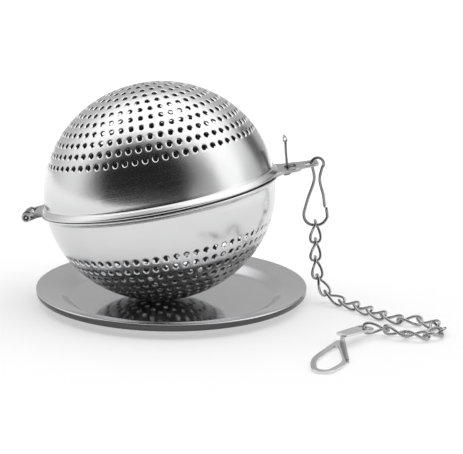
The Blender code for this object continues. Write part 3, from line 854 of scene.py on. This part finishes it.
def sky_patch(tree, direction, azimuth, elevation, wide, tall, soft):
    """A socket that is 1 inside a soft oval patch of the sky and 0 outside it.

    Azimuth runs from the front round to the right. Wide and tall are half sizes. They are all in
    degrees, and soft is the share of the size over which the patch fades.
    """
    nodes, links = tree.nodes, tree.links
    turn, rise = radians(azimuth), radians(elevation)
    ahead = Vector((cos(rise) * sin(turn), -cos(rise) * cos(turn), sin(rise)))
    right = Vector((cos(turn), sin(turn), 0))
    up = ahead.cross(right)
    axes = (right / sin(radians(wide)), up / sin(radians(tall)), ahead)
    along = [vector_math(tree, "DOT_PRODUCT", direction, axis).outputs["Value"] for axis in axes]
    flat = nodes.new("ShaderNodeCombineXYZ")
    links.new(along[0], flat.inputs["X"])
    links.new(along[1], flat.inputs["Y"])
    reach = vector_math(tree, "LENGTH", flat.outputs["Vector"]).outputs["Value"]
    fade = map_range(tree, reach, (1 - soft, 1), (1 + soft, 0), "SMOOTHSTEP")
    facing = nodes.new("ShaderNodeMath")
    facing.operation = "GREATER_THAN"
    facing.inputs[1].default_value = 0
    links.new(along[2], facing.inputs[0])
    both = nodes.new("ShaderNodeMath")
    both.operation = "MULTIPLY"
    links.new(fade, both.inputs[0])
    links.new(facing.outputs["Value"], both.inputs[1])
    return both.outputs["Value"]


def make_sky():
    """Soft studio light all round, dark towards the front, behind plain white."""
    world = bpy.data.worlds.new("studio")
    world.use_nodes = True
    tree = world.node_tree
    nodes, links = tree.nodes, tree.links
    direction = nodes.new("ShaderNodeTexCoord").outputs["Generated"]
    brightness = None
    for *patch, level in SKY_PATCHES:
        blend = nodes.new("ShaderNodeMix")
        blend.inputs[2].default_value = SKY_LEVEL
        blend.inputs[3].default_value = level
        links.new(sky_patch(tree, direction, *patch), blend.inputs[0])
        if brightness is not None:
            links.new(brightness, blend.inputs[2])
        brightness = blend.outputs[0]
    sky = nodes["Background"]
    sky.inputs["Color"].default_value = (1, 1, 1, 1)
    links.new(brightness, sky.inputs["Strength"])
    white = nodes.new("ShaderNodeBackground")
    white.inputs["Color"].default_value = (1, 1, 1, 1)
    seen = nodes.new("ShaderNodeLightPath")
    choice = nodes.new("ShaderNodeMixShader")
    links.new(seen.outputs["Is Camera Ray"], choice.inputs["Fac"])
    links.new(sky.outputs["Background"], choice.inputs[1])
    links.new(white.outputs["Background"], choice.inputs[2])
    links.new(choice.outputs["Shader"], nodes["World Output"].inputs["Surface"])
    bpy.context.scene.world = world


def make_floor():
    """A white floor that glows as painted light, which lifts the shadows, and brightens a little
    away from the object.
    """
    bpy.ops.mesh.primitive_plane_add(size=FLOOR_SIZE)
    floor = bpy.context.object
    floor.name = "floor"
    material = flat_material("floor_painted_glow", (0.58, 0.58, 0.58), 0.6)
    tree = material.node_tree
    shader = tree.nodes["Principled BSDF"]
    shader.inputs["Emission Color"].default_value = (1, 1, 1, 1)
    shader.inputs["Specular IOR Level"].default_value = 0
    # Painted light: the floor glows everywhere, a little more away from the object.
    place = tree.nodes.new("ShaderNodeTexCoord").outputs["Object"]
    away = vector_math(tree, "LENGTH", place).outputs["Value"]
    glow = map_range(tree, away, *FLOOR_GLOW, "SMOOTHSTEP")
    tree.links.new(glow, shader.inputs["Emission Strength"])
    floor.data.materials.append(material)


def make_front_flag():
    """A low black flag in front, which shows only in the reflections."""
    bpy.ops.mesh.primitive_plane_add(size=1)
    flag = bpy.context.object
    flag.name = "front_flag"
    flag.scale = (*FLAG_SIZE, 1)
    flag.location = FLAG_PLACE
    flag.rotation_euler = (pi / 2, 0, 0)
    flag.data.materials.append(flat_material("flag_black", (0.02, 0.02, 0.02), 0.9))
    flag.visible_camera = flag.visible_diffuse = flag.visible_shadow = False


def make_fill():
    """A large soft lamp above, which lights the floor and shows in no reflection."""
    light = bpy.data.lights.new("floor_fill", "AREA")
    light.shape = "RECTANGLE"
    light.size, light.size_y = FILL_SIZE
    light.energy = FILL_LEVEL * pi * FILL_SIZE[0] * FILL_SIZE[1]
    lamp = new_piece("floor_fill", light)
    lamp.location = FILL_PLACE
    lamp.rotation_euler = (FILL_AIM - FILL_PLACE).to_track_quat("-Z", "Y").to_euler()
    lamp.visible_glossy = False


def make_studio():
    bpy.context.scene.view_settings.view_transform = "Standard"
    make_sky()
    make_floor()
    make_front_flag()
    make_fill()


def make_camera():
    lens = bpy.data.cameras.new("camera")
    lens.lens = LENS_MM
    lens.shift_x, lens.shift_y = LENS_SHIFT
    lens.clip_start = LENS_CLIP
    camera = new_piece("camera", lens)
    flat = cos(VIEW_ELEVATION)
    back = Vector((sin(VIEW_AZIMUTH) * flat, -cos(VIEW_AZIMUTH) * flat, sin(VIEW_ELEVATION)))
    camera.location = VIEW_TARGET + back * VIEW_DISTANCE
    camera.rotation_euler = back.to_track_quat("Z", "Y").to_euler()
    bpy.context.scene.camera = camera


make_camera()
make_shells()
make_handle()
make_tongue()
make_hinge()
make_latch()
make_clip()
make_chain()
make_hook()
make_saucer()
make_studio()
